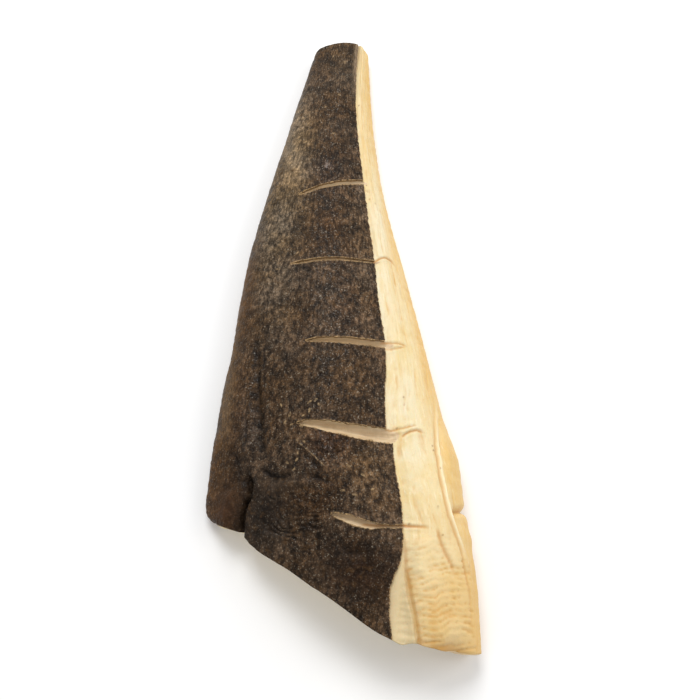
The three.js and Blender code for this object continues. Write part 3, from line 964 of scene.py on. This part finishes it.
class Nodes:
    """Short calls for building a material's node tree."""

    def __init__(self, name):
        self.material = bpy.data.materials.new(name)
        self.material.use_nodes = True
        self.tree = self.material.node_tree
        self.shader = self.tree.nodes["Principled BSDF"]

    def fill(self, node, inputs):
        for key, value in inputs.items():
            self.put(node.inputs[key.replace("_", " ")], value)
        return node

    def add(self, kind, **inputs):
        return self.fill(self.tree.nodes.new(kind), inputs)

    def surface(self, **inputs):
        self.fill(self.shader, inputs)

    def put(self, socket, value):
        if isinstance(value, bpy.types.NodeSocket):
            self.tree.links.new(value, socket)
        else:
            socket.default_value = value

    def attribute(self, name, output="Fac"):
        node = self.tree.nodes.new("ShaderNodeAttribute")
        node.attribute_name = name
        return node.outputs[output]

    def math(self, operation, a, b=0.0):
        node = self.tree.nodes.new("ShaderNodeMath")
        node.operation = operation
        self.put(node.inputs[0], a)
        self.put(node.inputs[1], b)
        return node.outputs[0]

    def times(self, a, b):
        return self.math("MULTIPLY", a, b)

    def mix(self, share, a, b, blend="MIX"):
        node = self.tree.nodes.new("ShaderNodeMix")
        node.data_type = "RGBA"
        node.blend_type = blend
        self.put(node.inputs[0], share)
        self.put(node.inputs[6], a)
        self.put(node.inputs[7], b)
        return node.outputs[2]

    def stain(self, colour, *stains):
        """A colour with others laid over it: (attribute, strength, colour) for each."""
        for name, strength, over in stains:
            colour = self.mix(self.times(self.attribute(name), strength), colour, rgb(over))
        return colour

    def scale(self, vector, share):
        """A colour made darker or lighter."""
        node = self.tree.nodes.new("ShaderNodeVectorMath")
        node.operation = "SCALE"
        self.put(node.inputs[0], vector)
        self.put(node.inputs["Scale"], share)
        return node.outputs[0]

    def ramp(self, value, low, high, start=0.0, end=1.0):
        ends = {"From_Min": low, "From_Max": high, "To_Min": start, "To_Max": end}
        node = self.add("ShaderNodeMapRange", Value=value, **ends)
        node.interpolation_type = "SMOOTHSTEP"
        return node.outputs[0]

    def axis(self, vector, number):
        """One of a vector's three parts."""
        return self.add("ShaderNodeSeparateXYZ", Vector=vector).outputs[number]

    def place(self, vector, scale):
        node = self.tree.nodes.new("ShaderNodeMapping")
        self.put(node.inputs["Vector"], vector)
        node.inputs["Scale"].default_value = scale
        return node.outputs[0]

    def noise(self, vector, scale, detail=3.0, rough=0.55):
        node = self.add("ShaderNodeTexNoise", Vector=vector, Scale=scale, Detail=detail, Roughness=rough)
        return node.outputs["Fac"]

    def cells(self, vector, scale):
        return self.add("ShaderNodeTexVoronoi", Vector=vector, Scale=scale).outputs["Distance"]

    def bump(self, height, distance, strength, before=None):
        node = self.add("ShaderNodeBump", Height=height, Distance=distance, Strength=strength)
        if before is not None:
            self.put(node.inputs["Normal"], before)
        return node.outputs[0]


def rgb(colour):
    return (*linear(colour), 1.0)


def skin_material():
    m = Nodes("smoked_skin")
    where = m.tree.nodes.new("ShaderNodeTexCoord").outputs["Object"]
    grain = m.attribute("grain", "Vector")
    strokes = m.noise(m.place(grain, (1.0, 0.42, 1.0)), 640, 3, 0.68)
    granules = m.cells(where, 980)
    fine = m.noise(where, 1400, 2, 0.7)
    blotch = m.noise(where, 240, 4, 0.65)
    patches = m.noise(where, 75, 4, 0.6)
    hue = m.ramp(m.noise(where, 42, 3, 0.5), 0.38, 0.62)
    even = m.times(m.attribute("calm"), 0.75)
    tint = m.mix(1.0, m.attribute("tint", "Vector"), (0.93, 0.815, 0.64, 1), "MULTIPLY")
    tint = m.mix(1.0, tint, m.mix(hue, (0.95, 1.0, 1.1, 1), (1.06, 1.0, 0.88, 1)), "MULTIPLY")
    level = m.times(m.ramp(strokes, 0.38, 0.62, 0.42, 1.5), m.ramp(granules, 0.1, 0.6, 1.2, 0.68))
    level = m.times(level, m.ramp(blotch, 0.36, 0.64, 0.5, 1.55))
    level = m.times(level, m.math("SUBTRACT", 1.0, even))
    level = m.math("ADD", level, m.times(even, 0.85))
    level = m.times(level, m.ramp(patches, 0.32, 0.68, 0.7, 1.3))
    level = m.times(level, m.ramp(hue, 0.0, 1.0, 1.12, 0.86))
    colour = m.scale(tint, level)
    rust = m.times(m.ramp(m.noise(where, 420, 3), 0.52, 0.7), m.ramp(patches, 0.4, 0.6, 0.1, 0.65))
    colour = m.mix(rust, colour, rgb((74, 52, 28)))
    pale = m.times(m.ramp(fine, 0.56, 0.7), m.ramp(strokes, 0.45, 0.62, 0.2, 1.0))
    pale = m.times(pale, m.math("SUBTRACT", 0.75, even))
    colour = m.mix(pale, colour, rgb((160, 150, 132)))
    fringe = m.times(m.attribute("fringe"), m.ramp(strokes, 0.35, 0.6, 0.35, 1.0))
    colour = m.mix(fringe, colour, rgb((152, 130, 104)))
    # Near-black painted shade in the creases, on the flap's rolled side and in the wrinkles' valleys
    colour = m.stain(colour, ("painted_crease_shade", 0.95, (7, 5, 4)))
    ragged = m.ramp(m.noise(where, 1000, 3, 0.7), 0.35, 0.6)
    scuff = m.times(m.ramp(m.attribute("scuff"), 0.25, 0.7), ragged)
    colour = m.mix(m.times(scuff, 0.75), colour, rgb((172, 144, 106)))
    lip = m.times(m.ramp(m.attribute("lip"), 0.45, 0.95), ragged)
    colour = m.mix(m.times(lip, 0.85), colour, rgb((196, 162, 116)))
    colour = m.mix(m.attribute("inner"), colour, rgb((168, 138, 98)))
    glints = m.times(m.ramp(blotch, 0.5, 0.6), m.attribute("wet"))
    sheen = m.math("ADD", m.times(m.ramp(fine, 0.6, 0.68), 0.4), glints)
    height = m.math("ADD", m.times(granules, -0.7), m.times(strokes, 0.9))
    m.surface(
        Base_Color=colour,
        Roughness=m.ramp(blotch, 0.35, 0.7, 0.36, 0.62),
        Specular_IOR_Level=0.09,
        Coat_Weight=sheen,
        Coat_Roughness=0.2,
        Normal=m.bump(height, 0.0005, 0.7, m.bump(blotch, 0.0006, 0.7)),
    )
    return m.material


def cut_face(m, where, tint, fine, patches):
    """The colour of a cut end, where the edges of the muscle's flakes show as wavy lines."""
    bent = m.math("ADD", m.times(m.noise(where, 45, 3, 0.5), 0.022), m.axis(where, 2))
    bands = m.math("ABSOLUTE", m.math("SINE", m.times(bent, FLAKE_WAVES)))
    lines = m.times(m.ramp(bands, 0.0, 0.3, 1.0, 0.0), m.ramp(patches, 0.35, 0.6, 0.2, 0.75))
    raw = m.mix(0.5, tint, rgb((240, 224, 186)))
    raw = m.mix(m.ramp(fine, 0.45, 0.75, 0.0, 0.35), raw, rgb((206, 170, 116)))
    return m.mix(lines, raw, rgb((198, 158, 100)))


def flesh_material():
    m = Nodes("smoked_flesh")
    where = m.tree.nodes.new("ShaderNodeTexCoord").outputs["Object"]
    grain = m.attribute("grain", "Vector")
    fibres = m.noise(m.place(grain, (1.0, 0.16, 1.0)), 800, 4, 0.65)
    strands = m.noise(m.place(grain, (1.0, 0.12, 1.0)), 300, 4, 0.6)
    stringy = m.math("SUBTRACT", 1.0, m.attribute("plump"))
    patches = m.noise(where, 60, 4, 0.6)
    fine = m.noise(where, 1100, 3, 0.65)
    tint = m.mix(1.0, m.attribute("tint", "Vector"), (0.885, 0.885, 0.92, 1), "MULTIPLY")
    gold = m.mix(1.0, tint, (0.94, 0.81, 0.5, 1), "MULTIPLY")
    colour = m.mix(m.times(m.ramp(strands, 0.42, 0.7, 0.0, 0.45), stringy), tint, gold)
    colour = m.mix(m.ramp(patches, 0.45, 0.68, 0.0, 0.5), colour, gold)
    pale = m.times(m.ramp(fibres, 0.54, 0.74, 0.0, 0.5), stringy)
    colour = m.mix(pale, colour, rgb((252, 243, 214)))
    colour = m.mix(m.ramp(fine, 0.58, 0.76, 0.0, 0.35), colour, rgb((212, 166, 92)))
    # Darker golden brown in the hollows is painted shade; the strip's colour is its own
    colour = m.stain(colour, ("hollow_shade", 0.6, (204, 148, 62)), ("strip", 0.8, (210, 190, 148)))
    # The pale painted highlight along the ridge's crest
    colour = m.stain(colour, ("pale", 0.7, (250, 240, 205)))
    cut = m.attribute("cut")
    layers = m.noise(m.place(grain, (0.12, 1.0, 1.0)), 500, 3, 0.6)
    wall = m.mix(m.ramp(layers, 0.35, 0.65), rgb((196, 168, 130)), rgb((222, 198, 160)))
    colour = m.mix(m.ramp(cut, 0.02, 0.2), colour, wall)
    colour = m.stain(colour, ("shade", 0.4, (158, 124, 84)))
    # Greyer and darker towards the bottom of each score: painted shade
    colour = m.mix(m.ramp(cut, 0.85, 1.0, 0.0, 0.4), colour, rgb((158, 130, 104)))
    colour = m.stain(colour, ("warm", 0.85, (190, 124, 42)), ("under", 0.35, (190, 165, 130)))
    raw = cut_face(m, where, tint, fine, patches)
    colour = m.mix(m.times(m.attribute("face"), 0.85), colour, raw)
    colour = m.stain(colour, ("hem", 0.8, (168, 122, 66)))
    streaks = m.times(m.attribute("smudge"), m.ramp(strands, 0.4, 0.58, 0.1, 1.0))
    colour = m.mix(streaks, colour, rgb((150, 128, 98)))
    colour = m.stain(colour, ("speck", 0.85, (128, 70, 18)))
    height = m.math("ADD", m.times(fibres, stringy), m.times(fine, 0.45))
    coarse = m.bump(m.times(strands, stringy), 0.0008, 0.5)
    m.surface(
        Base_Color=colour,
        Roughness=m.ramp(fine, 0.3, 0.7, 0.38, 0.6),
        Specular_IOR_Level=0.4,
        Subsurface_Weight=0.1,
        Subsurface_Radius=(0.003, 0.0015, 0.0008),
        Normal=m.bump(height, 0.0005, 0.7, coarse),
    )
    return m.material


# ---- The studio ----

ELEVATION = math.radians(68.4)
DISTANCE = 0.4913
AIM = Vector((0.0046, -0.0132, 0.0))
FLOOR_REACH = 4.0
WORLD_LIGHT = 0.62


def floor():
    m = Nodes("floor")
    m.surface(Base_Color=(0.93, 0.93, 0.93, 1), Roughness=0.9)
    mesh = bpy.data.meshes.new("floor")
    corners = [(x * FLOOR_REACH, y * FLOOR_REACH, 0) for x, y in ((-1, -1), (1, -1), (1, 1), (-1, 1))]
    mesh.from_pydata(corners, [], [(0, 1, 2, 3)])
    mesh.materials.append(m.material)
    add_object("floor", mesh)


def area_light(name, place, size, power):
    light = bpy.data.lights.new(name, "AREA")
    light.shape, light.size, light.energy = "SQUARE", size, power
    lamp = add_object(name, light)
    lamp.location = place
    lamp.rotation_euler = (-Vector(place)).to_track_quat("-Z", "Y").to_euler()


def studio():
    world = bpy.data.worlds.new("studio")
    world.use_nodes = True
    sky = world.node_tree.nodes["Background"].inputs
    sky["Color"].default_value, sky["Strength"].default_value = (1, 1, 1, 1), WORLD_LIGHT
    bpy.context.scene.world = world
    area_light("key", (-0.15, 0.75, 1.1), 0.7, 11.0)
    area_light("side", (0.9, 0.1, 0.7), 0.6, 3.0)
    bpy.context.scene.view_settings.view_transform = "Standard"


def camera():
    data = bpy.data.cameras.new("camera")
    data.lens, data.sensor_width = 35.0, 24.0
    back = Vector((0.0, -math.cos(ELEVATION), math.sin(ELEVATION)))
    cam = add_object("camera", data)
    cam.location = AIM + back * DISTANCE
    cam.rotation_euler = (-back).to_track_quat("-Z", "Y").to_euler()
    bpy.context.scene.camera = cam


def settle(piece, node):
    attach(piece, "root")
    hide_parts(node)


settle(flesh_piece(flesh_material()), "flesh")
settle(skin_piece(skin_material()), "skin")
floor()
studio()
camera()
